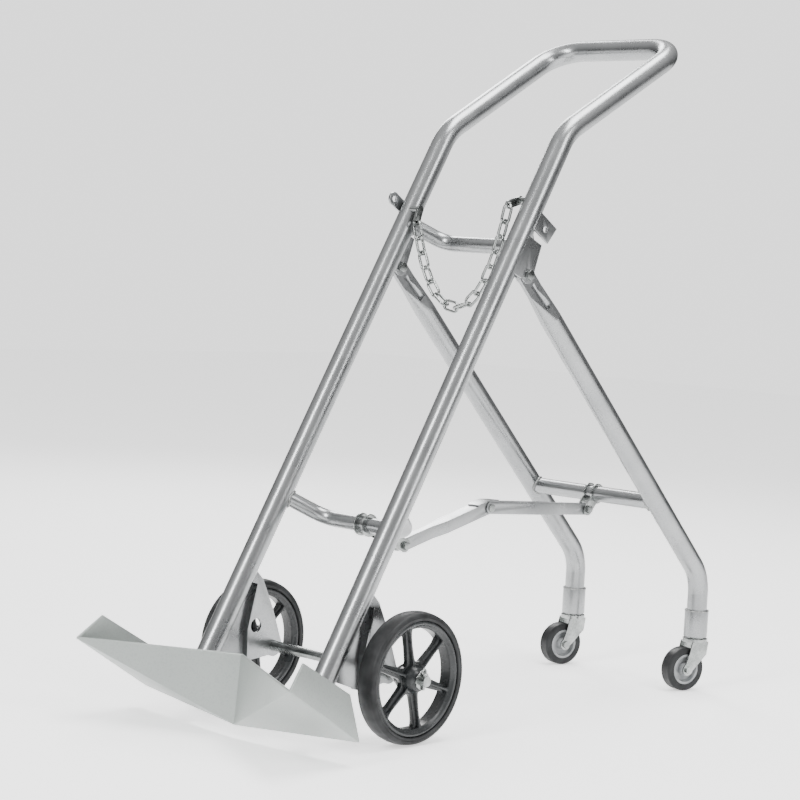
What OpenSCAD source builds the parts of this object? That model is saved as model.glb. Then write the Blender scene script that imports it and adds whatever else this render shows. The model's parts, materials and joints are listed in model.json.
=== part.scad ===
/* [Frame] */
// Distance between the centre lines of the two rails
rail_gap = 254; // [230:2:280]
// Outside diameter of the main tubing
tube_d = 35; // [32:0.5:38]
// Wall of every tube
tube_wall = 2; // [1.5:0.5:3]
// Lean of the rails from the vertical
rail_lean = 29.6; // [26:0.2:33]
// Height where the rails pass over the axle
rail_over_axle = 340; // [320:5:380]
// Height of the joint between the rails and the handle
seam_z = 750; // [740:5:800]

/* [Handle] */
// Height of the corner where each rail bends into its handle arm
handle_bend_z = 931; // [860:5:1000]
// Lean of the handle arms from the vertical
arm_lean = 60; // [45:1:70]
// Height of the centre line of the handle bar
handle_z = 1092; // [1040:4:1180]
// Distance between the two corners of the handle bar
handle_gap = 266; // [230:2:300]
// Bend radius between rail and arm
arm_bend_r = 90; // [60:5:110]
// Bend radius at the ends of the handle bar
grip_bend_r = 58; // [45:1:80]
// Depth of the handle spigots inside the rails
spigot_l = 60; // [40:5:90]

/* [Bows] */
// Diameter of the upper bow
upper_bow_d = 26; // [22:1:30]
// Height of the upper bow on the rails
upper_bow_z = 778; // [765:1:800]
// Set-back of the upper bow behind the rails
upper_bow_back = 64; // [50:1:80]
// Diameter of the lower bow
lower_bow_d = 24; // [20:1:28]
// Height of the lower bow on the rails
lower_bow_z = 340; // [320:5:380]
// Set-back of the lower bow behind the rails
lower_bow_back = 73; // [60:1:90]
// Distance between the corners of either bow
bow_gap = 176; // [150:2:190]
// Bend radius of both bows
bow_bend_r = 42; // [36:1:60]

/* [Wheels] */
// Diameter of the main wheels
wheel_d = 200; // [180:5:240]
// Width of the tyres
tyre_w = 34; // [28:1:40]
// Distance between the middles of the wheels
wheel_gap = 346; // [336:2:380]
// Diameter of the axle
axle_d = 16; // [12:1:20]
// Diameter of the wheel hubs
hub_d = 40; // [34:1:50]
// Length of the wheel hubs
hub_l = 44; // [38:1:50]
// Thickness of each tyre
tyre_t = 13; // [10:1:18]
// Thickness of the wheel rim under the tyre
rim_t = 12; // [8:1:15]
// Width of the wheel spokes at the rim
spoke_w = 11; // [8:1:18]

/* [Support legs] */
// Distance between the centre lines of the legs
leg_gap = 274; // [262:2:300]
// Height of the leg pivots
pivot_z = 721; // [700:1:735]
// Distance of the leg pivots behind the centre lines of the rails
pivot_back = 34; // [32:1:44]
// Height of the corner in each leg
leg_bend_z = 199; // [180:1:230]
// Distance of the castors behind the axle
castor_y = 757; // [700:1:800]
// Bend radius of the legs
leg_bend_r = 75; // [60:5:110]
// Thickness of the flattened leg ends
tongue_t = 7; // [5:0.5:10]
// Width of the flattened leg ends
tongue_w = 31; // [26:1:31]
// Diameter of the pivot bolts
pivot_d = 10; // [8:1:12]
// Diameter of the tube across the legs
cross_d = 27; // [22:1:30]
// Height of the tube across the legs
cross_z = 332; // [300:1:360]

/* [Brace] */
// Distance of the front pivot of the brace behind the axle
brace_front_y = 146; // [135:1:160]
// Height of the front pivot of the brace
brace_front_z = 268; // [255:1:280]
// Distance of the knee of the brace behind the axle
knee_y = 340; // [325:1:360]
// Height of the knee of the brace
knee_z = 320; // [310:1:335]
// Distance of the rear pivot ahead of the cross tube
eye_ahead = 23; // [20:1:30]
// Distance of the rear pivot below the cross tube
eye_below = 26; // [22:1:34]
// Height of the pressed arms
arm_h = 20; // [16:1:24]
// Width of the rear arm
arm_w = 30; // [26:1:36]
// Width of the pinched ends of both arms
neck_w = 13; // [10:1:16]
// Thickness of the arm sheet
arm_t = 2.5; // [2:0.5:3]
// Diameter of the brace bolts and of the knee rivet
brace_bolt_d = 8; // [6:1:9]

/* [Castors] */
// Diameter of the castor wheels
castor_d = 75; // [60:1:80]
// Width of the castor wheels
castor_w = 24; // [20:1:28]
// Distance of the castor wheel behind its swivel
castor_trail = 24; // [18:1:30]
// Angle to which the castors are turned
castor_turn = -16; // [-30:1:30]
// Height of the top of the castor forks
fork_z = 85; // [84:1:90]
// Length of the castor sockets
socket_l = 45; // [35:1:55]
// Outside diameter of the castor sockets
socket_d = 41; // [39:0.5:44]
// Diameter of the castor stems
stem_d = 12; // [10:1:14]

/* [Toe plate] */
// Distance between the outer edges of the toe plate
plate_w = 466; // [420:2:500]
// Distance of the front corners ahead of the axle
plate_front = 305; // [280:1:320]
// Height of the front corners
plate_front_z = 121; // [110:1:135]
// Thickness of the sheet
plate_t = 4; // [3:0.5:5]

/* [Chain] */
// Wire of the chain links
wire_d = 4.5; // [3.5:0.5:5]
// Nominal pitch of the links
link_pitch = 25; // [22:1:30]
// Slackness of the chain, as the constant of its hanging curve
chain_slack = 46; // [44:1:60]
// Distance of the chain behind the axle
chain_y = 243; // [238:1:250]
// Height of the left chain hole
chain_left_z = 779; // [770:1:790]
// Height of the right chain hole
chain_right_z = 812; // [800:1:825]
// Distance of the chain tabs inward of the rails
tab_in = 9.5; // [8:0.5:14]
// Thickness of the chain tabs and lugs
tab_t = 4; // [3:0.5:5]

/* [Hidden] */

zinc = [0.78, 0.80, 0.81];
sheet_grey = [0.74, 0.76, 0.74];
black = [0.08, 0.08, 0.09];

// Middle of the outline behind the axle
middle_y = 235.785;
// Clearances: a face that rests on another, a turning fit, and a part that passes beside another
seat = 0.1;
run_fit = 0.08;
pass = 0.5;
// Lap and extra skin where straight tube meets a bend
lap = 0.3;
skin = 0.04;

// Rails lie along one line in side view
rail_x = rail_gap / 2;
lean_tan = tan(rail_lean);
function rail_y(z) = (z - rail_over_axle) * lean_tan;
rail_up = [0, sin(rail_lean), cos(rail_lean)];
rail_back = [0, cos(rail_lean), -sin(rail_lean)];
function on_rail(side, z) = [side * rail_x, rail_y(z), z];

// Main wheels stand on the ground with the axle over y = 0
axle_z = wheel_d / 2;
wheel_x = wheel_gap / 2;
washer_t = 2.5;
washer_d = axle_d + 12;
pin_d = 4;
pin_gap = 0.3;
hub_end = wheel_x + hub_l / 2;
axle_end = hub_end + washer_t + pin_gap + pin_d + 5;
rim_d = wheel_d - 2 * tyre_t;
rim_w = tyre_w - 6;
spokes = 6;
bracket_t = 4;

// Corners of one half of the toe plate; the rails stand on its floor
front = [plate_w / 2, -plate_front, plate_front_z];
wing_front = [plate_w / 2 - 13, -plate_front + 35, plate_front_z + 32];
wing_rear = [plate_w / 2 - 13, -176, 100];
rear = [plate_w / 2, -166, 36];
keel = [0, -189, 20];
crown = [0, -182, 122];
floor_up = cross(rear - keel, front - keel) / norm(cross(rear - keel, front - keel)) * -1;
foot_gap = plate_t / 2 + 0.2 + tube_d / 2 * sqrt(1 - pow(floor_up * rail_up, 2));
rail_foot_z = (foot_gap - floor_up * (on_rail(1, 0) - keel)) / (floor_up * [0, lean_tan, 1]);

// Handle corners
handle_top_y = rail_y(handle_bend_z) + (handle_z - handle_bend_z) * tan(arm_lean);
spigot_gap = 0.2;

// Legs turn about one line through both pivots
leg_x = leg_gap / 2;
pivot = on_rail(0, pivot_z) + pivot_back * rail_back;
pivot_y = pivot[1];
pivot_h = pivot[2];
leg_run = [0, castor_y - pivot_y, leg_bend_z - pivot_h];
leg_dir = leg_run / norm(leg_run);
cross_y = pivot_y + (pivot_h - cross_z) * leg_run[1] / -leg_run[2];
tongue_l = 36;
taper_l = 95;
ear_t = 4;
ear_gap = tongue_t / 2 + 0.4;
leg_foot_z = fork_z + 8 + 7;

// Brace pivots
eye_y = cross_y - eye_ahead;
eye_z = cross_z - eye_below;
front_arm_l = norm([knee_y - brace_front_y, knee_z - brace_front_z]);
rear_arm_l = norm([eye_y - knee_y, eye_z - knee_z]);
front_arm_tilt = atan2(knee_z - brace_front_z, knee_y - brace_front_y);
rear_arm_tilt = atan2(eye_z - knee_z, eye_y - knee_y);
inner_arm_w = arm_w - 2 * arm_t - 2 * pass;
neck_l = 66;
flare_l = 30;

// Chain hangs in a curve between two holes
tab_x = rail_x - tube_d / 2 - tab_in - tab_t / 2;
chain_hole_d = wire_d + 4;

function unit(v) = v / norm(v);
function sinh(a) = (exp(a) - exp(-a)) / 2;
function cosh(a) = (exp(a) + exp(-a)) / 2;
function asinh(a) = ln(a + sqrt(a * a + 1));

// ---- Shapes that repeat ----

// Places children with their Z axis along direction v, at p
module along(p, v) {
    translate(p)
        rotate([0, acos(v[2] / norm(v)), atan2(v[1], v[0])])
            children();
}

// Straight tube from a to b; a bore of 0 makes a solid bar
module run(a, b, d, bore) {
    along(a, b - a)
        linear_extrude(norm(b - a))
            ring(d, bore);
}

module ring(d, bore) {
    difference() {
        circle(d = d);
        if (bore > 0) circle(d = bore);
    }
}

// Round bend at corner p between unit directions u and v
module bend(p, u, v, r, d, bore) {
    turn = acos(u * v);
    out = unit(u * (u * v) - v);
    up = cross(out, u);
    c = p - u * r * tan(turn / 2) - out * r;
    multmatrix([[out[0], u[0], up[0], c[0]], [out[1], u[1], up[1], c[1]],
        [out[2], u[2], up[2], c[2]], [0, 0, 0, 1]])
        rotate_extrude(angle = turn)
            translate([r, 0])
                ring(d, bore);
}

// Tube through points pts, bent with radius rs[i] at each inner point; the straight lengths
// lap over the bends with a skin of their own
module bent_tube(pts, rs, d, bore) {
    n = len(pts);
    dirs = [for (i = [0 : n - 2]) unit(pts[i + 1] - pts[i])];
    cut = [for (i = [0 : n - 1]) (i == 0 || i == n - 1) ? 0
        : rs[i - 1] * tan(acos(dirs[i - 1] * dirs[i]) / 2) - lap];
    for (i = [0 : n - 2])
        run(pts[i] + dirs[i] * cut[i], pts[i + 1] - dirs[i] * cut[i + 1], d + skin, bore - skin);
    for (i = [1 : n - 2])
        bend(pts[i], dirs[i - 1], dirs[i], rs[i - 1], d, bore);
}

// Plate of thickness t in the YZ plane, centred on x
module side_plate(x, t) {
    translate([x - t / 2, 0, 0])
        rotate([90, 0, 90])
            linear_extrude(t)
                children();
}

// Bar between two points of a side plate
module band(a, b, w) {
    translate(a)
        rotate(atan2(b[1] - a[1], b[0] - a[0]))
            translate([0, -w / 2])
                square([norm(b - a), w]);
}

// Bolt along X through x0 to x1 with a hex head and nut
module bolt(x0, x1, y, z, d) {
    head = d * 1.7;
    thick = d * 0.6;
    translate([x0, y, z])
        rotate([0, 90, 0]) {
            cylinder(d = d, h = x1 - x0 + 2);
            translate([0, 0, -thick])
                cylinder(d = head, h = thick, $fn = 6);
            translate([0, 0, x1 - x0])
                cylinder(d = head, h = thick, $fn = 6);
        }
}

// ---- Frame ----

module rail(side) {
    color(zinc)
        run(on_rail(side, rail_foot_z), on_rail(side, seam_z), tube_d, tube_d - 2 * tube_wall);
}

module handle_bow() {
    inner = tube_d - 2 * tube_wall;
    spigot_d = inner - 2 * spigot_gap;
    color(zinc) {
        bent_tube([on_rail(-1, seam_z) + seat * rail_up, on_rail(-1, handle_bend_z),
            [-handle_gap / 2, handle_top_y, handle_z], [handle_gap / 2, handle_top_y, handle_z],
            on_rail(1, handle_bend_z), on_rail(1, seam_z) + seat * rail_up],
            [arm_bend_r, grip_bend_r, grip_bend_r, arm_bend_r], tube_d, inner);
        for (side = [-1, 1])
            run(on_rail(side, seam_z) - spigot_l * rail_up, on_rail(side, seam_z) + 25 * rail_up,
                spigot_d, spigot_d - 2 * tube_wall);
        for (side = [-1, 1])
            run(on_rail(side, seam_z) + seat * rail_up, on_rail(side, seam_z) + 25 * rail_up,
                inner + 0.5, spigot_d - 0.5);
    }
}

// Bow between the rails, bulging along direction back
module bow(z, d, depth, back) {
    mid = bow_gap / 2;
    color(zinc)
        difference() {
            bent_tube([on_rail(-1, z), [-mid, rail_y(z), z] + depth * back,
                [mid, rail_y(z), z] + depth * back, on_rail(1, z)],
                [bow_bend_r, bow_bend_r], d, d - 2 * tube_wall);
            for (side = [-1, 1])
                run(on_rail(side, z - 60), on_rail(side, z + 60), tube_d + 2 * seat, 0);
        }
}

module upper_bow() {
    bow(upper_bow_z, upper_bow_d, upper_bow_back, rail_back);
}

module lower_bow() {
    bow(lower_bow_z, lower_bow_d, lower_bow_back, rail_back);
}

module axle() {
    color(zinc)
        difference() {
            translate([-axle_end, 0, axle_z])
                rotate([0, 90, 0])
                    cylinder(d = axle_d, h = 2 * axle_end);
            for (side = [-1, 1])
                translate([side * (hub_end + washer_t + pin_gap + pin_d / 2), 0, axle_z - axle_d])
                    cylinder(d = pin_d + 2 * run_fit, h = 2 * axle_d);
        }
}

module axle_washers() {
    color(zinc)
        for (side = [-1, 1])
            for (x = [wheel_x - hub_l / 2 - washer_t - 0.2, hub_end + 0.2])
                translate([side * (x + washer_t / 2), 0, axle_z])
                    rotate([0, 90, 0])
                        difference() {
                            cylinder(d = washer_d, h = washer_t, center = true);
                            cylinder(d = axle_d + 2 * seat, h = 2 * washer_t, center = true);
                        }
}

// Split pins with a round eye at the top
module axle_pins() {
    color(zinc)
        for (side = [-1, 1])
            translate([side * (hub_end + washer_t + pin_gap + pin_d / 2), 0, axle_z]) {
                translate([0, 0, -axle_d / 2 - 6])
                    cylinder(d = pin_d, h = axle_d + 8);
                translate([0, 0, axle_d / 2 + 5])
                    rotate([0, 90, 0])
                        rotate_extrude()
                            translate([4, 0])
                                circle(d = 2.5);
            }
}

// Pressed plate that hangs the axle from a rail
module axle_bracket(side) {
    top = 236;
    low = 104;
    color(zinc)
        difference() {
            union() {
                side_plate(side * rail_x, bracket_t) {
                    polygon([[rail_y(top), top], [-30, 208], [-6, 160], [14, axle_z + 10],
                        [14, axle_z - 12], [-64, 80], [rail_y(low), low]]);
                    translate([0, axle_z]) circle(d = axle_d + 18);
                }
                side_plate(side * rail_x, 26) {
                    band([-50, 203], [-66, 133], 3);
                    band([-66, 133.5], [-64, 80], 3);
                }
            }
            run(on_rail(side, 20), on_rail(side, 300), tube_d + 2 * seat, 0);
            side_plate(side * rail_x, 2 * bracket_t) {
                translate([0, axle_z]) circle(d = axle_d + 2 * seat);
                translate([-40, 135]) circle(d = 22);
            }
        }
}

// Rounded sheet through corner points
module panel(points) {
    hull()
        for (p = points)
            translate(p)
                sphere(d = plate_t, $fn = 12);
}

// Folded plate: a V lip at the front, a floor each side of the middle, and a wing at each end
module toe_plate() {
    color(sheet_grey)
        for (side = [-1, 1])
            scale([side, 1, 1]) {
                panel([keel, front, crown]);
                panel([keel, rear, front]);
                panel([front, rear, wing_rear, wing_front]);
            }
}

// Lug on the outer side of a rail, pointing back
module lug_r() {
    color(zinc)
        difference() {
            side_plate(rail_x + tube_d / 2 + seat + tab_t / 2, tab_t)
                polygon([[rail_y(776), 776], [rail_y(803), 803], [303, 778], [283, 754]]);
            side_plate(rail_x + tube_d / 2 + tab_t / 2, 3 * tab_t)
                translate([275, 776]) circle(d = 9);
        }
}

// Lug on the outer side of the left rail, pointing forward
module lug_l() {
    color(zinc)
        difference() {
            side_plate(-rail_x - tube_d / 2 - seat - tab_t / 2, tab_t) {
                band([rail_y(800), 800], [237, 815], 21);
                translate([237, 815]) circle(d = 22);
            }
            side_plate(-rail_x - tube_d / 2 - tab_t / 2, 3 * tab_t)
                translate([237, 815]) circle(d = 9);
        }
}

// Tab inward of a rail that carries the end link of the chain, on a round foot at [y, z]
module chain_tab(side, z, foot) {
    color(zinc)
        difference() {
            union() {
                side_plate(side * tab_x, tab_t) {
                    band(foot, [chain_y, z], 13.2);
                    translate(foot) circle(d = 14);
                    translate([chain_y, z]) circle(d = 14);
                }
                run([side * (tab_x + 1), foot[0], foot[1]], [side * rail_x, foot[0], foot[1]], 10, 0);
            }
            run(on_rail(side, z - 60), on_rail(side, z + 90), tube_d + 2 * seat, 0);
            side_plate(side * tab_x, 2 * tab_t)
                translate([chain_y, z]) circle(d = chain_hole_d);
        }
}

// ---- Chain ----

left_foot = [chain_y + 6, chain_left_z + 20];
right_foot = [rail_y(chain_right_z + 8) - 4, chain_right_z + 8];

// Hanging curve between the two holes, by arc length
half_span = tab_x;
low_x = -chain_slack * asinh((chain_right_z - chain_left_z) / (2 * chain_slack
    * sinh(half_span / chain_slack)));
low_z = chain_left_z - chain_slack * cosh((-half_span - low_x) / chain_slack);
arc_left = chain_slack * sinh((-half_span - low_x) / chain_slack);
arc_right = chain_slack * sinh((half_span - low_x) / chain_slack);
link_play = 0.6;
link_inner_w = 10.5;
end_lap = (wire_d + link_play) / 2;
// An odd number, so that both end links lie across the tabs
links = 2 * round(((arc_right - arc_left - 2 * end_lap) / link_pitch - 1) / 2) + 1;
pitch = (arc_right - arc_left - 2 * end_lap) / links;
function chain_at(s) = [low_x + chain_slack * asinh(s / chain_slack), chain_y,
    low_z + sqrt(chain_slack * chain_slack + s * s)];

// Oval link, its inside inner_l long along X
module link(inner_l) {
    half = (inner_l - link_inner_w) / 2;
    r = (link_inner_w + wire_d) / 2;
    for (end = [0, 180])
        rotate(end)
            translate([half, 0])
                rotate(-90)
                    rotate_extrude(angle = 180)
                        translate([r, 0])
                            circle(d = wire_d);
    for (s = [-1, 1])
        translate([-half - 0.5, s * r, 0])
            rotate([0, 90, 0])
                cylinder(d = wire_d + 0.1, h = 2 * half + 1);
}

module chain() {
    color(zinc)
        for (i = [0 : links - 1]) {
            a = chain_at(arc_left + end_lap + i * pitch);
            b = chain_at(arc_left + end_lap + (i + 1) * pitch);
            translate((a + b) / 2)
                rotate([0, -atan2(b[2] - a[2], b[0] - a[0]), 0])
                    rotate([i % 2 == 0 ? 90 : 0, 0, 0])
                        link(norm(b - a) + link_play);
        }
}

// ---- Support legs ----

// Two ears behind a rail that carry the leg pivot
module leg_bracket(side) {
    color(zinc)
        difference() {
            for (s = [-1, 1])
                side_plate(side * leg_x + s * (ear_gap + ear_t / 2), ear_t) {
                    polygon([[rail_y(pivot_z - 14), pivot_z - 14], [rail_y(pivot_z + 44), pivot_z + 44],
                        [rail_y(pivot_z + 40) + 34, pivot_z + 30], [pivot_y + 13, pivot_h + 4],
                        [pivot_y + 4, pivot_h - 13]]);
                    translate([pivot_y, pivot_h]) circle(r = 14);
                }
            run(on_rail(side, pivot_z - 60), on_rail(side, pivot_z + 90), tube_d + 2 * seat, 0);
            side_plate(side * leg_x, 30)
                translate([pivot_y, pivot_h]) circle(d = pivot_d + 2 * seat);
        }
}

module leg_bolts() {
    reach = ear_gap + ear_t + seat;
    color(zinc)
        for (side = [-1, 1])
            bolt(side * leg_x - reach, side * leg_x + reach, pivot_y, pivot_h, pivot_d);
}

// Bent tube with a flattened, pierced upper end
module leg(side) {
    top = [side * leg_x, pivot_y, pivot_h];
    corner = [side * leg_x, castor_y, leg_bend_z];
    foot = [side * leg_x, castor_y, leg_foot_z];
    tilt = atan2(-leg_dir[2], leg_dir[1]);
    color(zinc)
        difference() {
            union() {
                bent_tube([top + taper_l * leg_dir, corner, foot], [leg_bend_r], tube_d,
                    tube_d - 2 * tube_wall);
                translate(top)
                    rotate([-tilt, 0, 0]) {
                        hull() {
                            translate([-tongue_t / 2, tongue_l - 1, -tongue_w / 2])
                                cube([tongue_t, 1, tongue_w]);
                            translate([0, taper_l, 0])
                                rotate([90, 0, 0])
                                    cylinder(d = tube_d, h = 1, $fn = 48);
                        }
                        translate([-tongue_t / 2, 0, -tongue_w / 2])
                            cube([tongue_t, tongue_l, tongue_w]);
                        rotate([0, 90, 0])
                            cylinder(d = tongue_w, h = tongue_t, center = true);
                    }
            }
            translate(top)
                rotate([0, 90, 0])
                    cylinder(d = pivot_d + 2 * run_fit, h = 2 * tongue_w, center = true);
            translate(top)
                rotate([-tilt, 0, 0])
                    for (s = [-1, 1])
                        translate([s * (tongue_t / 2 + 5), tongue_l - 14, 0])
                            rotate([-90, 0, -s * 6])
                                cylinder(r = 7, h = taper_l - tongue_l - 10);
        }
}

module cross_tube() {
    color(zinc)
        difference() {
            run([-leg_x, cross_y, cross_z], [leg_x, cross_y, cross_z], cross_d,
                cross_d - 2 * tube_wall);
            for (side = [-1, 1])
                run([side * leg_x, pivot_y, pivot_h], [side * leg_x, castor_y, leg_bend_z],
                    tube_d + 2 * seat, 0);
        }
}

// Two ears round the cross tube that carry the rear end of the brace
module cross_eye() {
    color(zinc)
        difference() {
            for (s = [-1, 1])
                side_plate(s * (neck_w / 2 + pass + arm_t / 2), arm_t) {
                    translate([cross_y, cross_z]) circle(d = cross_d + 8);
                    translate([eye_y, eye_z]) circle(d = 21);
                    band([eye_y, eye_z], [cross_y, cross_z], 20);
                }
            run([-30, cross_y, cross_z], [30, cross_y, cross_z], cross_d + 2 * seat, 0);
            side_plate(0, arm_w)
                translate([eye_y, eye_z]) circle(d = brace_bolt_d + 2 * seat);
        }
}

module brace_rear_bolt() {
    reach = neck_w / 2 + pass + arm_t + seat;
    color(zinc)
        bolt(-reach, reach, eye_y, eye_z, brace_bolt_d);
}

// ---- Brace ----

// Side outline of an arm of length l from pivot to pivot
module arm_side(l, low, high) {
    intersection() {
        union() {
            circle(d = arm_h);
            translate([l, 0]) circle(d = arm_h);
            translate([0, -arm_h / 2]) square([l, arm_h]);
        }
        translate([-arm_h, low]) square([l + 2 * arm_h, high - low]);
    }
}

// Plan of an arm that is w wide at the knee and pinched at the far end, l away
module arm_plan(w, l, start, trim) {
    half = w / 2 - trim;
    slim = neck_w / 2 - trim;
    polygon([[-half, start], [half, start], [half, l - neck_l - flare_l], [slim, l - neck_l],
        [slim, l + arm_h], [-slim, l + arm_h], [-slim, l - neck_l],
        [-half, l - neck_l - flare_l]]);
}

// Pressed channel along +Y from the knee, open below
module arm_channel(w, l, web_start, high) {
    intersection() {
        union() {
            translate([0, 0, -arm_h / 2])
                linear_extrude(arm_h)
                    difference() {
                        arm_plan(w, l, -arm_h, 0);
                        arm_plan(w, l, -arm_h - 1, arm_t);
                        translate([-arm_w, l + arm_h / 2]) square([2 * arm_w, arm_h]);
                    }
            translate([0, 0, high - arm_t])
                linear_extrude(arm_t)
                    arm_plan(w, l, web_start, 0);
        }
        side_plate(0, 2 * arm_w)
            arm_side(l, -arm_h / 2, high);
    }
}

module brace_rear_arm() {
    color(zinc)
        difference() {
            translate([0, knee_y, knee_z])
                rotate([rear_arm_tilt, 0, 0])
                    arm_channel(arm_w, rear_arm_l, 10, arm_h / 2 - 0.3);
            translate([0, knee_y, knee_z])
                rotate([0, 90, 0])
                    cylinder(d = brace_bolt_d + 2 * seat, h = 2 * arm_w, center = true);
            translate([0, eye_y, eye_z])
                rotate([0, 90, 0])
                    cylinder(d = brace_bolt_d + 2 * run_fit, h = 2 * arm_w, center = true);
        }
}

// Pointed stop that lies on the web of the rear arm
module knee_stop() {
    w = inner_arm_w / 2;
    mitre = tan((front_arm_tilt - rear_arm_tilt) / 2);
    low = mitre * arm_h / 2;
    high = mitre * (arm_h / 2 + arm_t);
    translate([0, knee_y, knee_z]) {
        rotate([rear_arm_tilt, 0, 0])
            translate([0, 0, arm_h / 2])
                linear_extrude(arm_t)
                    polygon([[-w, -low], [w, -low], [w, 20], [0, 34], [-w, 20]]);
        rotate([front_arm_tilt, 0, 0])
            translate([-w, -26, arm_h / 2 - 0.5])
                cube([2 * w, 26 + high, arm_t + 0.5]);
    }
}

module brace_front_arm() {
    color(zinc)
        difference() {
            union() {
                translate([0, knee_y, knee_z])
                    rotate([front_arm_tilt, 0, 0])
                        mirror([0, 1, 0])
                            arm_channel(inner_arm_w, front_arm_l, 0, arm_h / 2);
                knee_stop();
            }
            translate([0, knee_y, knee_z])
                rotate([0, 90, 0])
                    cylinder(d = brace_bolt_d + 2 * run_fit, h = 2 * arm_w, center = true);
            translate([0, brace_front_y, brace_front_z])
                rotate([0, 90, 0])
                    cylinder(d = brace_bolt_d + 2 * run_fit, h = 2 * arm_w, center = true);
        }
}

// Rivet through both arms, with a flat round head each side
module knee_rivet() {
    reach = arm_w / 2 + seat;
    color(zinc)
        translate([-reach, knee_y, knee_z])
            rotate([0, 90, 0]) {
                cylinder(d = brace_bolt_d, h = 2 * reach);
                translate([0, 0, -2.5]) cylinder(d = brace_bolt_d + 5, h = 2.5);
                translate([0, 0, 2 * reach]) cylinder(d = brace_bolt_d + 5, h = 2.5);
            }
}

// Two plates from the lower bow to the front pivot of the brace
module brace_bracket() {
    bow = [rail_y(lower_bow_z), lower_bow_z]
        + lower_bow_back * [rail_back[1], rail_back[2]];
    color(zinc)
        difference() {
            for (s = [-1, 1])
                side_plate(s * (neck_w / 2 + pass + arm_t / 2), arm_t) {
                    translate(bow) circle(d = lower_bow_d + 12);
                    translate([brace_front_y, brace_front_z]) circle(d = 22);
                    band(bow, [brace_front_y, brace_front_z], 21);
                }
            run([-30, bow[0], bow[1]], [30, bow[0], bow[1]], lower_bow_d + 2 * seat, 0);
            side_plate(0, arm_w)
                translate([brace_front_y, brace_front_z]) circle(d = brace_bolt_d + 2 * seat);
        }
}

// Two short bolts, one through each plate of the bracket
module brace_front_bolt() {
    inner = neck_w / 2 + pass + 0.1;
    outer = neck_w / 2 + pass + arm_t + seat;
    color(zinc)
        for (s = [-1, 1])
            translate([0, brace_front_y, brace_front_z])
                rotate([0, s * 90, 0]) {
                    translate([0, 0, inner]) cylinder(d = brace_bolt_d, h = outer - inner + 3);
                    translate([0, 0, outer]) cylinder(d = brace_bolt_d * 1.7, h = 5, $fn = 6);
                }
}

// ---- Castors ----

// Sleeve over the leg end with a bored plug for the castor stem
module castor_socket(side) {
    inner = tube_d - 2 * tube_wall;
    bore = stem_d / 2 + run_fit;
    base = fork_z + 8;
    color(zinc)
        translate([side * leg_x, castor_y, 0])
            rotate_extrude()
                polygon([[bore, base], [socket_d / 2, base], [socket_d / 2, base + socket_l],
                    [tube_d / 2 + seat, base + socket_l], [tube_d / 2 + seat, leg_foot_z - seat],
                    [inner / 2 - seat, leg_foot_z - seat], [inner / 2 - seat, base + 35],
                    [bore, base + 35]]);
}

// Places children in the frame of a castor wheel, its axle along X
module at_castor(side) {
    translate([side * leg_x, castor_y, 0])
        rotate([0, 0, castor_turn])
            children();
}

cheek_t = 2.5;
cheek_gap = castor_w / 2 + 2.5;
fork_w = 2 * (cheek_gap + cheek_t);
castor_axle_d = 8;

// Pressed fork with a bearing ring and a stem on top
module castor_fork(side) {
    color(zinc)
        at_castor(side)
            difference() {
                union() {
                    for (s = [-1, 1])
                        side_plate(s * (cheek_gap + cheek_t / 2), cheek_t) {
                            polygon([[-17, fork_z], [17, fork_z], [14, fork_z - 22],
                                [-castor_trail + 9, castor_d / 2 - 3],
                                [-castor_trail - 9, castor_d / 2 - 3], [-22, fork_z - 20]]);
                            translate([-castor_trail, castor_d / 2]) circle(d = 20);
                        }
                    translate([-fork_w / 2, -17, fork_z - cheek_t])
                        cube([fork_w, 34, cheek_t]);
                    translate([0, 0, fork_z])
                        cylinder(d = 43, h = 5);
                    translate([0, 0, fork_z + 5])
                        cylinder(d = 30, h = 2.7);
                    cylinder_stem();
                }
                translate([0, -castor_trail, castor_d / 2])
                    rotate([0, 90, 0])
                        cylinder(d = castor_axle_d + 2 * seat, h = 2 * fork_w, center = true);
            }
}

module cylinder_stem() {
    translate([0, 0, fork_z])
        cylinder(d = stem_d, h = 8 + 32);
}

module castor_axle(side) {
    reach = cheek_gap + cheek_t + seat;
    color(zinc)
        at_castor(side)
            bolt(-reach, reach, -castor_trail, castor_d / 2, castor_axle_d);
}

castor_rim_d = 52;

module castor_rim(side) {
    hub = cheek_gap - 0.3;
    color([0.55, 0.56, 0.57])
        at_castor(side)
            translate([0, -castor_trail, castor_d / 2])
                rotate([0, 90, 0])
                    rotate_extrude()
                        polygon([[castor_axle_d / 2 + run_fit, -hub], [11, -hub], [11, -4], [20, -4],
                            [22, -castor_w / 2 + 1], [castor_rim_d / 2, -castor_w / 2 + 1],
                            [castor_rim_d / 2, castor_w / 2 - 1], [22, castor_w / 2 - 1], [20, 4],
                            [11, 4], [11, hub], [castor_axle_d / 2 + run_fit, hub]]);
}

module castor_tyre(side) {
    color(black)
        at_castor(side)
            translate([0, -castor_trail, castor_d / 2])
                rotate([0, 90, 0])
                    tyre(castor_d, castor_rim_d, castor_w, 4);
}

// Ring with rounded shoulders of radius r, its axis along Z
module tyre(d, bore, w, r) {
    rotate_extrude() {
        translate([bore / 2 + seat, -w / 2])
            square([d / 2 - bore / 2 - seat - r, w]);
        translate([bore / 2 + seat, -w / 2 + r])
            square([d / 2 - bore / 2 - seat, w - 2 * r]);
        for (s = [-1, 1])
            translate([d / 2 - r, s * (w / 2 - r)])
                circle(r = r);
    }
}

// ---- Main wheels ----

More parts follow.
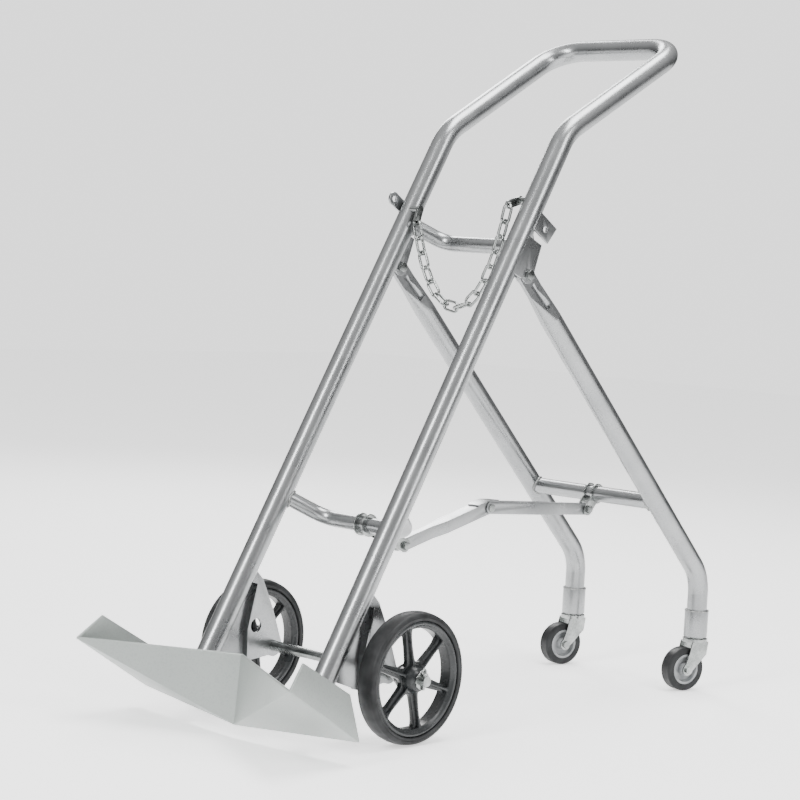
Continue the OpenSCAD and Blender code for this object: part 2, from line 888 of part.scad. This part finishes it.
module wheel_rim(side) {
    inner = rim_d / 2 - rim_t;
    color(black)
        translate([side * wheel_x, 0, axle_z])
            rotate([0, 90, 0])
                difference() {
                    union() {
                        rotate_extrude()
                            translate([inner, -rim_w / 2])
                                square([rim_t, rim_w]);
                        cylinder(d = hub_d, h = hub_l, center = true);
                        for (i = [0 : spokes - 1])
                            rotate(i * 360 / spokes)
                                spoke(inner + 1);
                    }
                    cylinder(d = axle_d + 2 * run_fit, h = 2 * hub_l, center = true);
                }
}

// Ribbed spoke along X
module spoke(l) {
    translate([0, 0, -4])
        linear_extrude(8)
            polygon([[0, -spoke_w / 2 - 4], [l, -spoke_w / 2], [l, spoke_w / 2],
                [0, spoke_w / 2 + 4]]);
    translate([0, -2, -rim_w / 2 + 3])
        cube([l, 4, rim_w - 6]);
}

module wheel_tyre(side) {
    color(black)
        translate([side * wheel_x, 0, axle_z])
            rotate([0, 90, 0])
                tyre(wheel_d, rim_d, tyre_w, 6);
}

// The origin lies below the middle of the outline
translate([0, -middle_y, 0]) {
    rail(-1);  // rail_l
    rail(1);  // rail_r
    handle_bow();
    upper_bow();
    lower_bow();
    axle();
    axle_bracket(-1);  // axle_bracket_l
    axle_bracket(1);  // axle_bracket_r
    axle_washers();
    axle_pins();
    toe_plate();
    lug_l();
    lug_r();
    chain_tab(-1, chain_left_z, left_foot);  // chain_tab_l
    chain_tab(1, chain_right_z, right_foot);  // chain_tab_r
    chain();
    leg_bracket(-1);  // leg_bracket_l
    leg_bracket(1);  // leg_bracket_r
    leg_bolts();
    leg(-1);  // leg_l
    leg(1);  // leg_r
    cross_tube();
    cross_eye();
    brace_bracket();
    brace_front_bolt();
    brace_front_arm();
    brace_rear_arm();
    knee_rivet();
    brace_rear_bolt();
    castor_socket(-1);  // castor_socket_l
    castor_socket(1);  // castor_socket_r
    castor_fork(-1);  // castor_fork_l
    castor_fork(1);  // castor_fork_r
    castor_axle(-1);  // castor_axle_l
    castor_axle(1);  // castor_axle_r
    castor_rim(-1);  // castor_rim_l
    castor_rim(1);  // castor_rim_r
    castor_tyre(-1);  // castor_tyre_l
    castor_tyre(1);  // castor_tyre_r
    wheel_rim(-1);  // wheel_rim_l
    wheel_rim(1);  // wheel_rim_r
    wheel_tyre(-1);  // wheel_tyre_l
    wheel_tyre(1);  // wheel_tyre_r
}
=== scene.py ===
"""The looks of the gas-cylinder hand truck: materials, mesh details, light and camera."""
import json
import math

import bmesh
import bpy
from mathutils import Matrix, Vector


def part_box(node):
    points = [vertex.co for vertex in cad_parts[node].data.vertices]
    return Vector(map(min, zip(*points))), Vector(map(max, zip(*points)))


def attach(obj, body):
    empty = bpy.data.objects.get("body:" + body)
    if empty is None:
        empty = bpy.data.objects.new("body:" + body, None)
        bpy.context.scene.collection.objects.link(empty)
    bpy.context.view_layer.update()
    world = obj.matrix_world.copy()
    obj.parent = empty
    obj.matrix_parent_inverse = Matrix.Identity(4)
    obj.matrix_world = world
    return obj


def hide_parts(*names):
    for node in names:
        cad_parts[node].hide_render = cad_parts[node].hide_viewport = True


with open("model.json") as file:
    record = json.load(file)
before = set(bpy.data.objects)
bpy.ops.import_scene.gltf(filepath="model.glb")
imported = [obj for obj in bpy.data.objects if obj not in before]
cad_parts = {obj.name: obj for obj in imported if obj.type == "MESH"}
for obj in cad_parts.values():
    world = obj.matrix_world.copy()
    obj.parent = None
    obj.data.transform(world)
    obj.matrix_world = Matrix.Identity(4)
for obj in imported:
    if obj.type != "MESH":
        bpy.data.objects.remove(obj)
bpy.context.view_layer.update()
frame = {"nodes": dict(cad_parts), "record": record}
nodes = frame["nodes"]

# ---- Sizes shared with the frame, in metres, measured from the axle ----
axle_low, axle_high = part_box("axle")
AXLE_Y = (axle_low[1] + axle_high[1]) / 2
TUBE_R = 0.0175
LEAN = math.radians(29.6)
RAIL_X = 0.127
RAIL_OVER_AXLE = 0.340
RAIL_UP = Vector((0, math.sin(LEAN), math.cos(LEAN)))
RAIL_BACK = Vector((0, math.cos(LEAN), -math.sin(LEAN)))
BOW_GAP = 0.176
PIVOT = Vector((0, AXLE_Y + 0.246001, 0.704206))
CROSS = Vector((0, AXLE_Y + 0.622475, 0.332))
CROSS_R = 0.0135
CASTOR_Y, LEG_BEND_Z, LEG_X = AXLE_Y + 0.757, 0.199, 0.137
WHEEL_X, WHEEL_R, AXLE_Z, AXLE_R = 0.173, 0.100, 0.100, 0.008
TYRE_W, TYRE_SEAT_R = 0.034, 0.0872
SPOKES, FIRST_SPOKE = 6, 12  # count, and the first one's angle in degrees
SIDES = ((-1, "l"), (1, "r"))


def on_rail(side, z):
    return Vector((side * RAIL_X, AXLE_Y + (z - RAIL_OVER_AXLE) * math.tan(LEAN), z))


# ---- Materials ----
def new_material(name):
    mat = bpy.data.materials.new(name)
    mat.use_nodes = True
    nt = mat.node_tree
    return mat, nt, nt.nodes["Principled BSDF"]


def add(nt, kind, **inputs):
    node = nt.nodes.new(kind)
    for key, value in inputs.items():
        node.inputs[key].default_value = value
    return node


def noise(nt, coords, scale, detail):
    tex = add(nt, "ShaderNodeTexNoise", Scale=scale, Detail=detail)
    nt.links.new(coords, tex.inputs["Vector"])
    return tex.outputs["Fac"]


def ramp(nt, fac, low, high, start=0.35, end=0.65):
    node = nt.nodes.new("ShaderNodeValToRGB")
    node.color_ramp.elements[0].position = start
    node.color_ramp.elements[1].position = end
    node.color_ramp.elements[0].color = (*low, 1)
    node.color_ramp.elements[1].color = (*high, 1)
    nt.links.new(fac, node.inputs["Fac"])
    return node.outputs["Color"]


def spread(nt, fac, low, high):
    node = nt.nodes.new("ShaderNodeMapRange")
    node.inputs["From Min"].default_value = 0.3
    node.inputs["From Max"].default_value = 0.7
    node.inputs["To Min"].default_value = low
    node.inputs["To Max"].default_value = high
    nt.links.new(fac, node.inputs["Value"])
    return node.outputs["Result"]


def bump(nt, bsdf, fac, strength, distance, under=None):
    node = add(nt, "ShaderNodeBump", Strength=strength, Distance=distance)
    nt.links.new(fac, node.inputs["Height"])
    if under:
        nt.links.new(under, node.inputs["Normal"])
    nt.links.new(node.outputs["Normal"], bsdf.inputs["Normal"])
    return node.outputs["Normal"]


def finish_material(name, low, high, rough, metallic, cloud, grain, grain_depth, spots=None, mark=1.0,
                    shine=0.5):
    """Clouded colour and gloss with a fine surface grain; spots adds small dark marks."""
    mat, nt, bsdf = new_material(name)
    coords = nt.nodes.new("ShaderNodeTexCoord").outputs["Object"]
    clouds = noise(nt, coords, cloud, 5.0)
    colour = ramp(nt, clouds, low, high)
    if spots:
        marks = noise(nt, coords, spots, 3.0)
        mix = nt.nodes.new("ShaderNodeMix")
        mix.data_type = "RGBA"
        mix.blend_type = "MULTIPLY"
        mix.inputs["Factor"].default_value = 1.0
        nt.links.new(colour, mix.inputs["A"])
        nt.links.new(ramp(nt, marks, (mark, mark, mark), (1, 1, 1), 0.36, 0.5), mix.inputs["B"])
        colour = mix.outputs["Result"]
    nt.links.new(colour, bsdf.inputs["Base Color"])
    nt.links.new(spread(nt, noise(nt, coords, cloud * 2.3, 6.0), *rough), bsdf.inputs["Roughness"])
    bsdf.inputs["Metallic"].default_value = metallic
    bsdf.inputs["Specular IOR Level"].default_value = shine
    fine = bump(nt, bsdf, noise(nt, coords, grain, 3.0), 0.35, grain_depth)
    bump(nt, bsdf, clouds, 0.15, grain_depth * 4, fine)
    return mat


tube_mat = finish_material("satin_zinc", (0.295, 0.302, 0.306), (0.345, 0.352, 0.356), (0.25, 0.33),
                           1.0, 11.0, 1500.0, 0.00010, spots=420.0, mark=0.90)
bright_mat = finish_material("bright_zinc", (0.25, 0.262, 0.257), (0.38, 0.392, 0.386), (0.16, 0.28),
                             1.0, 45.0, 1400.0, 0.00008, spots=260.0, mark=0.86)
weld_mat = finish_material("weld_bead", (0.19, 0.195, 0.193), (0.36, 0.365, 0.36), (0.28, 0.5),
                           1.0, 120.0, 700.0, 0.0004)
sheet_mat = finish_material("grey_sheet_paint", (0.30, 0.325, 0.312), (0.34, 0.365, 0.35),
                            (0.36, 0.46), 0.45, 5.0, 1100.0, 0.00010, spots=300.0, mark=0.93)
plastic_mat = finish_material("black_moulded_plastic", (0.012, 0.014, 0.015), (0.028, 0.03, 0.031),
                              (0.20, 0.34), 0.0, 25.0, 1100.0, 0.00012, shine=0.4)
rubber_mat = finish_material("black_rubber", (0.010, 0.0105, 0.011), (0.026, 0.027, 0.028),
                             (0.36, 0.55), 0.0, 40.0, 1500.0, 0.0002, shine=0.22)
rim_mat = finish_material("grey_castor_centre", (0.20, 0.21, 0.215), (0.32, 0.33, 0.335),
                          (0.3, 0.45), 0.0, 60.0, 1200.0, 0.0001)

BY_SLOT = {"zinc_tube": tube_mat, "zinc_fittings": bright_mat, "grey_sheet": sheet_mat,
           "black_plastic": plastic_mat, "black_rubber": rubber_mat, "grey_rim": rim_mat}
for part in frame["record"]["subparts"]:
    mesh = nodes[part["node"]].data
    mesh.materials.clear()
    mesh.materials.append(BY_SLOT[part["material_slot"]])


# ---- Mesh helpers ----
def make_object(name, bm, mat, body, smooth, replaces=()):
    """Turns the bmesh into a piece that rides on a body; edges under smooth degrees are shaded smooth."""
    mesh = bpy.data.meshes.new(name)
    bmesh.ops.recalc_face_normals(bm, faces=bm.faces[:])
    bm.to_mesh(mesh)
    bm.free()
    mesh.materials.append(mat)
    obj = bpy.data.objects.new(name, mesh)
    bpy.context.scene.collection.objects.link(obj)
    mesh.shade_smooth()
    mesh.set_sharp_from_angle(angle=math.radians(smooth))
    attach(obj, body)
    if replaces:
        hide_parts(*replaces)
    return obj


def bridge(bm, a, b):
    n = len(a)
    for i in range(n):
        bm.faces.new((a[i], a[(i + 1) % n], b[(i + 1) % n], b[i]))


def lathe(bm, profile, matrix, steps):
    """Closed profile of (radius, height) points turned about the matrix's Z axis."""
    rings = []
    for radius, height in profile:
        rings.append([bm.verts.new(matrix @ Vector((radius * math.cos(a), radius * math.sin(a), height)))
                      for a in (2 * math.pi * i / steps for i in range(steps))])
    for a, b in zip(rings, rings[1:] + rings[:1]):
        bridge(bm, a, b)


def rounded(corners, r, steps):
    """Closed polygon with its corners rounded by radius r."""
    out = []
    n = len(corners)
    for i, c in enumerate(corners):
        c = Vector(c)
        to_last = (Vector(corners[i - 1]) - c)
        to_next = (Vector(corners[(i + 1) % n]) - c)
        cut = min(r, to_last.length * 0.45, to_next.length * 0.45)
        start, end = c + to_last.normalized() * cut, c + to_next.normalized() * cut
        for k in range(steps + 1):
            t = k / steps
            out.append(tuple(start * (1 - t) ** 2 + c * 2 * t * (1 - t) + end * t ** 2))
    return out


def sweep_ring(bm, points, radius_at, steps=10):
    """Closed tube through a ring of points, its radius given for each point."""
    rings = []
    n = len(points)
    last = None
    for i, p in enumerate(points):
        tangent = (points[(i + 1) % n] - points[i - 1]).normalized()
        side = tangent.orthogonal() if last is None else last - tangent * last.dot(tangent)
        side.normalize()
        last = side
        other = tangent.cross(side)
        r = radius_at(i)
        rings.append([bm.verts.new(p + (side * math.cos(a) + other * math.sin(a)) * r)
                      for a in (2 * math.pi * k / steps for k in range(steps))])
    for a, b in zip(rings, rings[1:]):
        bridge(bm, a, b)
    # The last ring meets the first where their points lie nearest
    shift = min(range(steps), key=lambda s: (rings[-1][0].co - rings[0][s].co).length)
    bridge(bm, rings[-1], rings[0][shift:] + rings[0][:shift])


# ---- Weld beads ----
BEAD_R = 0.0021
BEAD_PROUD = 0.0006  # how far a bead's middle stands off both tubes
SOCKET_BEAD_R = 0.0017
SOCKET_BEAD_PROUD = 0.0016
SOCKET_TOP = 0.1382


def weld(name, body, start, direction, r, axis_point, axis, count=72):
    """Rippled bead where a tube of radius r runs along direction into a main tube on axis."""
    direction = direction.normalized()
    e1 = direction.orthogonal().normalized()
    e2 = direction.cross(e1)
    axis = axis.normalized()
    step = direction - axis * direction.dot(axis)
    points = []
    for i in range(count):
        a = 2 * math.pi * i / count
        base = start + (e1 * math.cos(a) + e2 * math.sin(a)) * (r + BEAD_PROUD) - axis_point
        flat = base - axis * base.dot(axis)
        # Where the line along direction meets the main tube's cylinder
        qa, qb, qc = step.dot(step), 2 * flat.dot(step), flat.dot(flat) - (TUBE_R + BEAD_PROUD) ** 2
        t = (-qb - math.sqrt(max(qb * qb - 4 * qa * qc, 0))) / (2 * qa)
        points.append(axis_point + base + direction * t)
    bm = bmesh.new()
    sweep_ring(bm, points, lambda i: BEAD_R * (1 + 0.22 * math.sin(i * 2.1) + 0.12 * math.sin(i * 5.3)))
    make_object(name, bm, weld_mat, body, 80)


def bow_welds(name, z, r, depth, gap):
    for side, tag in SIDES:
        end = on_rail(side, z)
        corner = on_rail(0, z) + Vector((side * gap / 2, 0, 0)) + RAIL_BACK * depth
        weld(f"{name}_{tag}", "frame", corner, end - corner, r, end, RAIL_UP)


bow_welds("weld_upper_bow", 0.778, 0.013, 0.064, BOW_GAP)
bow_welds("weld_lower_bow", 0.340, 0.012, 0.073, BOW_GAP)
leg_run = (Vector((0, CASTOR_Y, LEG_BEND_Z)) - PIVOT).normalized()
for side, tag in SIDES:
    on_leg = CROSS + Vector((side * LEG_X, 0, 0))
    weld(f"weld_cross_tube_{tag}", "legs", CROSS, Vector((side, 0, 0)), CROSS_R, on_leg, leg_run)

# Each castor socket is welded round the foot of its leg
for side, tag in SIDES:
    bm = bmesh.new()
    centre = Vector((side * LEG_X, CASTOR_Y, SOCKET_TOP))
    ring = [centre + Vector((math.cos(a), math.sin(a), 0)) * (TUBE_R + SOCKET_BEAD_PROUD)
            for a in (2 * math.pi * i / 80 for i in range(80))]
    sweep_ring(bm, ring, lambda i: SOCKET_BEAD_R * (1 + 0.2 * math.sin(i * 2.1) + 0.1 * math.sin(i * 5.3)))
    make_object(f"weld_socket_{tag}", bm, weld_mat, "legs", 80)

# ---- Main wheels: moulded centre and rubber tyre, turned about X ----
def about_x(x, y, z):
    return Matrix.Translation((x, y, z)) @ Matrix.Rotation(math.pi / 2, 4, "Y")


def tyre_profile(outer, inner, width, crown, shoulder):
    """Tyre section as (radius, offset): crowned tread, rounded shoulders, a step and a bead at the rim."""
    half = width / 2
    side = [(inner, -half + 0.0015), (inner + 0.0012, -half + 0.0002), (inner + 0.0045, -half),
            (inner + 0.0052, -half + 0.0008), (inner + 0.0060, -half + 0.0009)]
    tread = []
    for k in range(9):
        a = math.pi / 2 * k / 8
        tread.append((outer - crown - shoulder + shoulder * math.sin(a),
                      -half + shoulder - shoulder * math.cos(a)))
    left = side + tread
    mid = [(outer - crown * (t / 4) ** 2, -(half - shoulder) * t / 4) for t in (3, 2, 1, 0, -1, -2, -3)]
    right = [(r, -x) for r, x in reversed(left)]
    return left + mid + right


def spoke(bm, angle, matrix, root, tip):
    """One moulded spoke: a tapered flat with a raised middle rib, flared into hub and rim."""
    stations = 15
    last = None
    for i in range(stations):
        t = i / (stations - 1)
        r = root + (tip - root) * t
        flare = max(0, 1 - t / 0.16) ** 2 * 0.005 + max(0, (t - 0.84) / 0.16) ** 2 * 0.005
        half = 0.0085 - 0.0032 * t + flare
        rib = 0.0019 + flare * 0.4
        flat, ridge = 0.0040, 0.0105 - 0.0015 * math.sin(math.pi * t)
        section = rounded([(-half, -flat), (-rib, -flat), (-rib, -ridge), (rib, -ridge), (rib, -flat),
                           (half, -flat), (half, flat), (rib, flat), (rib, ridge), (-rib, ridge),
                           (-rib, flat), (-half, flat)], 0.0014, 2)
        turn = matrix @ Matrix.Rotation(angle, 4, "Z")
        ring = [bm.verts.new(turn @ Vector((r, a, b))) for a, b in section]
        if last:
            bridge(bm, last, ring)
        last = ring


# Sections as (radius, offset) corners
RIM = [(0.0868, -0.0138), (0.0868, 0.0138), (0.0845, 0.0150), (0.0815, 0.0150), (0.0790, 0.0120),
       (0.0755, 0.0100), (0.0755, -0.0100), (0.0790, -0.0120), (0.0815, -0.0150), (0.0845, -0.0150)]
HUB = [(AXLE_R + 0.0003, -0.0215), (AXLE_R + 0.0003, 0.0215), (0.0125, 0.0215), (0.0150, 0.0195),
       (0.0175, 0.0180), (0.0215, 0.0105), (0.0225, 0.0060), (0.0225, -0.0060), (0.0215, -0.0105),
       (0.0175, -0.0180), (0.0150, -0.0195), (0.0125, -0.0215)]
for side, tag in SIDES:
    place = about_x(side * WHEEL_X, AXLE_Y, AXLE_Z)
    bm = bmesh.new()
    lathe(bm, tyre_profile(WHEEL_R, TYRE_SEAT_R, TYRE_W, 0.0016, 0.006), place, 144)
    make_object(f"main_tyre_{tag}", bm, rubber_mat, f"wheel_{tag}", 30,
                (f"wheel_tyre_{tag}",))
    bm = bmesh.new()
    lathe(bm, rounded(RIM, 0.0015, 3), place, 144)
    lathe(bm, rounded(HUB, 0.0012, 3), place, 96)
    for k in range(SPOKES):
        spoke(bm, math.radians(360 / SPOKES * k + FIRST_SPOKE), place, 0.0195, 0.0765)
    make_object(f"main_wheel_centre_{tag}", bm, plastic_mat, f"wheel_{tag}", 30,
                (f"wheel_rim_{tag}",))


# ---- Pressed and machined fittings: the frame's own shape with its edges rolled over ----
SHARP = math.radians(22)
SOFTENED = {"toe_plate": 0.0012, "axle_bracket": 0.0008, "lug": 0.0008, "chain_tab": 0.0005,
            "leg_bracket": 0.0006, "brace_bracket": 0.0006, "brace_front_arm": 0.0006,
            "brace_rear_arm": 0.0006, "cross_eye": 0.0006, "castor_fork": 0.0006, "castor_socket": 0.0008,
            "leg_bolts": 0.0005, "knee_rivet": 0.0006, "brace_front_bolt": 0.0004, "brace_rear_bolt": 0.0004,
            "axle_washers": 0.0004}
body_of = {n: body for body, members in frame["record"]["behaviour"]["bodies"].items() for n in members}


def soften(node, width, slot):
    """Replaces a node by its own shape with every sharp edge rounded by width."""
    bm = bmesh.new()
    bm.from_mesh(nodes[node].data)
    bmesh.ops.remove_doubles(bm, verts=bm.verts[:], dist=0.00002)
    bmesh.ops.dissolve_limit(bm, angle_limit=math.radians(0.6), verts=bm.verts[:], edges=bm.edges[:])
    edges = [e for e in bm.edges if len(e.link_faces) == 2 and e.calc_face_angle() > SHARP]
    bmesh.ops.bevel(bm, geom=edges, offset=width, offset_type="OFFSET", segments=3, profile=0.6,
                    affect="EDGES", clamp_overlap=True)
    make_object(f"{node}_finished", bm, BY_SLOT[slot], body_of[node], 40, (node,))


slot_of = {p["node"]: p["material_slot"] for p in frame["record"]["subparts"]}
for node in sorted(nodes):
    stem = node[:-2] if node[-2:] in ("_l", "_r") else node
    if stem in SOFTENED:
        soften(node, SOFTENED[stem], slot_of[node])

# ---- Stage, light and camera ----
bm = bmesh.new()
bmesh.ops.create_grid(bm, x_segments=2, y_segments=2, size=9)
floor_mesh = bpy.data.meshes.new("floor")
bm.to_mesh(floor_mesh)
bm.free()
floor_mat, nt, bsdf = new_material("pale_floor")
bsdf.inputs["Base Color"].default_value = (0.95, 0.95, 0.95, 1)
bsdf.inputs["Roughness"].default_value = 1.0
bsdf.inputs["Emission Color"].default_value = (1, 1, 1, 1)
bsdf.inputs["Emission Strength"].default_value = 0.95
floor_mesh.materials.append(floor_mat)
floor = bpy.data.objects.new("floor", floor_mesh)
floor.location = (0, 0, -0.0005)  # just under the wheels, so the faces never coincide
bpy.context.scene.collection.objects.link(floor)

# Studio: the tubes mirror a dim horizon under a bright sky, and the camera sees an even pale wall
world = bpy.data.worlds.new("studio")
world.use_nodes = True
nt = world.node_tree
wall = nt.nodes["Background"]
wall.inputs["Color"].default_value = (1, 1, 1, 1)
wall.inputs["Strength"].default_value = 1.8
room = nt.nodes.new("ShaderNodeBackground")
direction = nt.nodes.new("ShaderNodeTexCoord").outputs["Generated"]
split = nt.nodes.new("ShaderNodeSeparateXYZ")
nt.links.new(direction, split.inputs["Vector"])
sky = nt.nodes.new("ShaderNodeValToRGB")
sky.color_ramp.elements[0].position = 0.0
sky.color_ramp.elements[0].color = (0.07, 0.072, 0.075, 1)
sky.color_ramp.elements[1].position = 0.75
sky.color_ramp.elements[1].color = (1, 1, 1, 1)
nt.links.new(split.outputs["Z"], sky.inputs["Fac"])
nt.links.new(sky.outputs["Color"], room.inputs["Color"])
room.inputs["Strength"].default_value = 1.0
choose = nt.nodes.new("ShaderNodeMixShader")
nt.links.new(nt.nodes.new("ShaderNodeLightPath").outputs["Is Camera Ray"], choose.inputs["Fac"])
nt.links.new(room.outputs["Background"], choose.inputs[1])
nt.links.new(wall.outputs["Background"], choose.inputs[2])
nt.links.new(choose.outputs["Shader"], nt.nodes["World Output"].inputs["Surface"])
bpy.context.scene.world = world


def area_light(name, place, target, size, power):
    light = bpy.data.lights.new(name, "AREA")
    light.shape = "RECTANGLE"
    light.size, light.size_y = size
    light.energy = power
    obj = bpy.data.objects.new(name, light)
    obj.location = place
    obj.rotation_euler = (Vector(target) - Vector(place)).to_track_quat("-Z", "Y").to_euler()
    bpy.context.scene.collection.objects.link(obj)


area_light("key", (0.2, AXLE_Y - 3.2, 2.6), (0, AXLE_Y + 0.2, 0.5), (0.7, 2.6), 130)
area_light("side", (3.2, AXLE_Y + 0.6, 1.9), (0, AXLE_Y + 0.3, 0.5), (0.6, 2.4), 60)
area_light("top", (0.3, AXLE_Y + 0.8, 3.4), (0, AXLE_Y + 0.3, 0.4), (2.4, 1.2), 110)
area_light("back", (-2.4, AXLE_Y + 2.0, 2.4), (0, AXLE_Y + 0.3, 0.6), (0.8, 2.0), 60)

# Camera: looks at the truck's right front, with a small roll
AZIMUTH, ELEVATION, ROLL = math.radians(43.59), math.radians(3.70), math.radians(3.256)
toward = Vector((math.sin(AZIMUTH) * math.cos(ELEVATION), -math.cos(AZIMUTH) * math.cos(ELEVATION),
                 math.sin(ELEVATION)))
level = Vector((math.cos(AZIMUTH), math.sin(AZIMUTH), 0))
up = toward.cross(level)
right = level * math.cos(ROLL) + up * math.sin(ROLL)
above = up * math.cos(ROLL) - level * math.sin(ROLL)
camera_data = bpy.data.cameras.new("camera")
camera_data.sensor_width = 36  # millimetres
camera_data.lens = 101.03
camera = bpy.data.objects.new("camera", camera_data)
turn = Matrix((right, above, toward)).transposed().to_4x4()
camera.matrix_world = Matrix.Translation((2.4169, AXLE_Y - 2.4141, 0.7243)) @ turn
bpy.context.scene.collection.objects.link(camera)
bpy.context.scene.camera = camera
